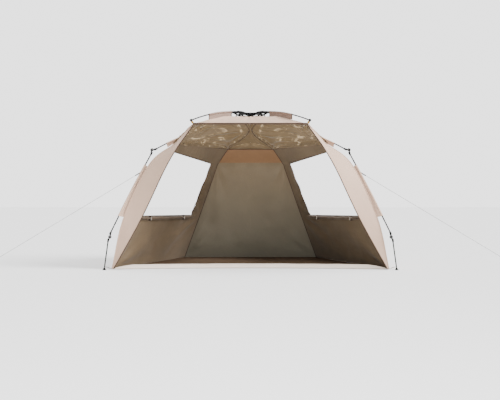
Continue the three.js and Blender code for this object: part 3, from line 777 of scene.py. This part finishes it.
def lip_spot(u, v):
    x = (2 * u - 1) * LIP_HALF
    end = min((LIP_HALF - abs(x)) / 0.2, 1.0)
    high = 0.004 + 0.042 * v * end ** 0.6
    lean = 0.008 * v + 0.004 * math.sin(v * math.pi)
    wave = 0.003 * v * noise.noise(Vector((x * 5, 2.0, 0)))
    return site(x, floor_front(x) + 0.006 + lean, high + wave)


lip = cloth_panel("front_lip", lip_spot, 120, 6, (0, -1, 0), (LIP, LIP), deep=0.004, scale=7.0, seed=10.0,
                  margin=0.3)
sew(lip, "floor", "", 0, "trim_cloth", "front_sill")

# ---------- Sleeves, webs and straps that tie the cloth to the rods ----------
def fin(name, kind, side, rod_line, far_line, radius, body, *nodes, cloth=OUTSIDE):
    """A sleeve round a rod with a flat web out to a far line, sewn from one piece of cloth."""
    wrap = 0.55
    open_angle = math.radians(20)

    def spot(u, v):
        middle, far = smooth(rod_line, v).to_2d(), smooth(far_line, v).to_2d()
        ahead = smooth(rod_line, min(v + 0.02, 1)) - smooth(rod_line, max(v - 0.02, 0))
        ahead = ahead.to_2d().normalized()
        down = Vector((-ahead.y, ahead.x))
        if down.dot(far - middle) < 0:
            down = -down
        angle = open_angle + (2 * math.pi - 2 * open_angle) * min(u / wrap, 1.0)
        place = middle + down * math.cos(angle) * radius
        across = math.sin(angle) * radius
        if u > wrap:
            t = (u - wrap) / (1 - wrap)
            place = place.lerp(far, t)
            across = across * (1 - t) + 0.003 * math.sin(v * 13) * math.sin(t * math.pi)
        return on_plane(kind, side, place.x, place.y, across)

    made = cloth_panel(name, spot, 32, 36, (0, -1, 0), (cloth, cloth), deep=0.0, thick=0.001)
    ride(made, body, "trim_cloth", *nodes)
    return made


def flat_points(points):
    return [Vector((r, z, 0)) for r, z in points]


def rod_piece(kind, r0, r1, count=8):
    """Places along an arm's rod between two distances from the hub's axis."""
    line = line_of(flat_points(RODS[kind]), 120)
    places = []
    for i in range(count + 1):
        r = r0 + (r1 - r0) * i / count
        places.append(min(line, key=lambda p: abs(p.x - r)))
    return places


LEG_LINE = [(1.0801, 1.1895), (1.3026, 0.7757), (1.5109, 0.3546)]   # a front leg, as RODS gives the arms
SLEEVE_TOP = 0.16                  # where the leg's sleeve starts, as a share of the leg
SLEEVE_LONG = 0.62

for label, side in SIDES:
    eave_rod = rod_piece("eave", 0.300, 0.634)
    eave_far = [Vector((p.x, p.y - 0.052 - 0.008 * math.sin(i / 8 * math.pi), 0))
                for i, p in enumerate(eave_rod)]
    # the eave webs take the darkened cloth: painted shade
    fin(f"eave_web_{label}", "eave", side, eave_rod, eave_far, 0.0085, f"arm_eave_{label}",
        f"web_eave_{label}", cloth=SHADED_WEB_CLOTH)
    for i, end in enumerate((0, -1)):
        p, q = eave_rod[end], eave_far[end]
        hem = [(p.x, p.y + 0.008), ((p.x + q.x) / 2, (p.y + q.y) / 2), (q.x, q.y)]
        hem = [on_plane("eave", side, r, z) for r, z in hem]
        stitch = tube(f"eave_web_binding_{label}_{i + 1}", hem, 0.006, BINDING, hint=(1, 0, 0), flat=0.6)
        ride(stitch, f"arm_eave_{label}", "trim_cloth")
    front_rod = rod_piece("front", 0.700, 0.930)
    front_far = [Vector((p.x - 0.010, p.y - 0.010 - 0.030 * (i / 8), 0)) for i, p in enumerate(front_rod)]
    fin(f"arm_web_{label}", "front", side, front_rod, front_far, 0.0085, f"arm_front_{label}")
    # the leg's sleeve, out from the corner seam and round the leg
    leg_rod = [smooth(flat_points(LEG_LINE), SLEEVE_TOP + SLEEVE_LONG * i / 10) for i in range(11)]
    seam = line_of(BAND_OUTER, 200)
    sleeve_far = []
    for p in leg_rod:
        level = min(seam, key=lambda q: abs(q.z - (p.y - 0.012)))
        out = heading("front", side)[0]
        reach = (site(side * level.x, level.y, 0) - site(0, HUB_BACK, 0)).dot(out)
        sleeve_far.append(Vector((reach, p.y - 0.012, 0)))
    fin(f"leg_sleeve_{label}", "front", side, leg_rod, sleeve_far, 0.0095, f"leg_front_{label}",
        f"sleeve_{label}")

# ---------- Eave straps, corner loops, centre strap ----------
for label, side in SIDES:
    ball = on_plane("eave", side, 0.882, 1.487)
    corner = site(side * 0.566, -0.101, 1.455)
    down = (corner - ball).normalized()
    strap_line = [ball + down * 0.006, ball.lerp(corner, 0.4), ball.lerp(corner, 0.8), corner]
    strap = tube(f"eave_strap_{label}", strap_line, 0.0095, WEBBING, hint=(0, 1, 0), flat=0.16, around=10,
                 steps=10)
    ride(strap, f"arm_eave_{label}", "strap_webbing", f"strap_eave_{label}")
    foot = on_plane("front", side, 1.548, 0.030)
    cloth_corner = site(side * 1.394, 0.060, 0.010)
    loop = tube(f"corner_loop_{label}", [cloth_corner, cloth_corner.lerp(foot, 0.35) + Vector((0, 0, -0.004)),
                                         cloth_corner.lerp(foot, 0.75), foot],
                0.011, GREY_WEBBING, hint=(0, 0.3, 1), flat=0.12, around=10, steps=12)
    ride(loop, f"lower_leg_front_{label}", "trim_cloth")
    rear_foot = on_plane("rear", side, 1.325, 0.030)
    rear_corner = site(side * 0.802, 1.543, 0.010)
    rear_loop = tube(f"rear_corner_loop_{label}", [rear_corner, rear_corner.lerp(rear_foot, 0.5), rear_foot],
                     0.011, GREY_WEBBING, hint=(0, 0.3, 1), flat=0.12, around=10, steps=8)
    ride(rear_loop, f"lower_leg_rear_{label}", "trim_cloth")
    # cloth loops that hang the roof and the rear wall from the rear rod
    for i, (r, target) in enumerate(((0.36, 0.90), (0.60, 0.985))):
        top = min(line_of(flat_points(RODS["rear"]), 120), key=lambda p: abs(p.x - r))
        hang = smooth(ROOF_SEAM, target) if i == 0 else at_height(REAR_SEAM, 1.20)
        low = site(side * hang.x, hang.y, hang.z)
        high = on_plane("rear", side, top.x, top.y)
        over_rod = high + (high - low).normalized() * 0.008
        tie = tube(f"rear_rod_tie_{label}_{i + 1}", [low, low.lerp(high, 0.5), over_rod], 0.010, BINDING,
                   hint=(0, -1, 0.2), flat=0.15, around=10, steps=8)
        ride(tie, f"arm_rear_{label}", "trim_cloth")

centre_line = [site(0, HUB_BACK, z) for z in (1.452, 1.49, 1.54, 1.586)]
centre = tube("centre_strap", centre_line, 0.010, BINDING, hint=(0, 1, 0), flat=0.2, around=10, steps=8)
ride(centre, "hub", "trim_cloth")


# ---------- Rivets on the pins ----------
def rivet(name, place, across, body, radius=0.0062):
    """A domed rivet head at each end of a pin."""
    bm = bmesh.new()
    for way, off in ((1, 0.0112), (-1, 0.0092)):
        made = bmesh.ops.create_uvsphere(bm, u_segments=14, v_segments=8, radius=radius)["verts"]
        bmesh.ops.scale(bm, vec=(1, 1, 0.45), verts=made)
        turn = Vector((0, 0, 1)).rotation_difference(across * way).to_matrix()
        bmesh.ops.rotate(bm, matrix=turn, verts=made)
        bmesh.ops.translate(bm, vec=place + across * way * off, verts=made)
    head = piece(name, bm, RIVET)
    ride(head, body, "moulded_plastic")


for label, side in SIDES:
    for kind in ("front", "rear"):
        across = heading(kind, side)[1]
        for joint in frame["joints"]:
            if joint["name"] in (f"knee_{kind}_{label}_fold", f"ankle_{kind}_{label}_fold"):
                rivet("rivet_" + joint["name"][:-5], Vector(joint["pos_m"]), across * side, joint["parent"])

# ---------- CAD pieces that stay, with their finishes ----------
FINISH_OF = {   # the start of a solid's name, and its finish
    "hub_": PLASTIC, "strut_": PLASTIC, "knee_": PLASTIC, "ankle_": PLASTIC, "tip_": PLASTIC,
    "arm_": ROD_BLACK, "leg_": TUBE_BLACK, "lower_leg_": TUBE_BLACK, "foot_": RUBBER, "guy_peg_": PEG_STEEL,
}
for name, made in frame["nodes"].items():
    for start, material in FINISH_OF.items():
        if name.startswith(start):
            made.data.materials.clear()
            made.data.materials.append(material)

# ---------- Floor, lights ----------
bm = bmesh.new()
bmesh.ops.create_grid(bm, x_segments=1, y_segments=1, size=60)
ground = piece("studio_floor", bm)
floor_finish, _, _ = shader("studio_floor", (0.86, 0.86, 0.86), 0.9)
ground.data.materials.append(floor_finish)


def lamp(name, kind, place, aim, soft, power):
    """A lamp: soft is a sun's angle in degrees, or an area lamp's size."""
    light = bpy.data.objects.new(name, bpy.data.lights.new(name, kind))
    if kind == "SUN":
        light.data.angle = math.radians(soft)
    else:
        light.data.size = soft
    light.data.energy = power
    light.location = place
    light.rotation_euler = (Vector(aim) - Vector(place)).to_track_quat("-Z", "Y").to_euler()
    scene.collection.objects.link(light)


lamp("key", "SUN", (7.5, -2.4, 5.0), (0, 0, 0.6), 25, 6.5)
lamp("top", "SUN", (0.5, -1.0, 8.0), (0, 0, 0.6), 60, 3.2)
lamp("fill", "AREA", (0.5, -6.5, 1.5), (0, 0, 0.7), 4.0, 110)
world = bpy.data.worlds.new("studio")
world.use_nodes = True
tree = world.node_tree
sky = tree.nodes["Background"]
sky.inputs["Color"].default_value = (1, 1, 1, 1)
sky.inputs["Strength"].default_value = 0.8
backdrop = node(tree, "ShaderNodeBackground", Color=(1, 1, 1, 1), Strength=2.6)
seen = tree.nodes.new("ShaderNodeLightPath")
choose = tree.nodes.new("ShaderNodeMixShader")
tree.links.new(seen.outputs["Is Camera Ray"], choose.inputs[0])
tree.links.new(sky.outputs[0], choose.inputs[1])
tree.links.new(backdrop.outputs[0], choose.inputs[2])
tree.links.new(choose.outputs[0], tree.nodes["World Output"].inputs["Surface"])
scene.world = world
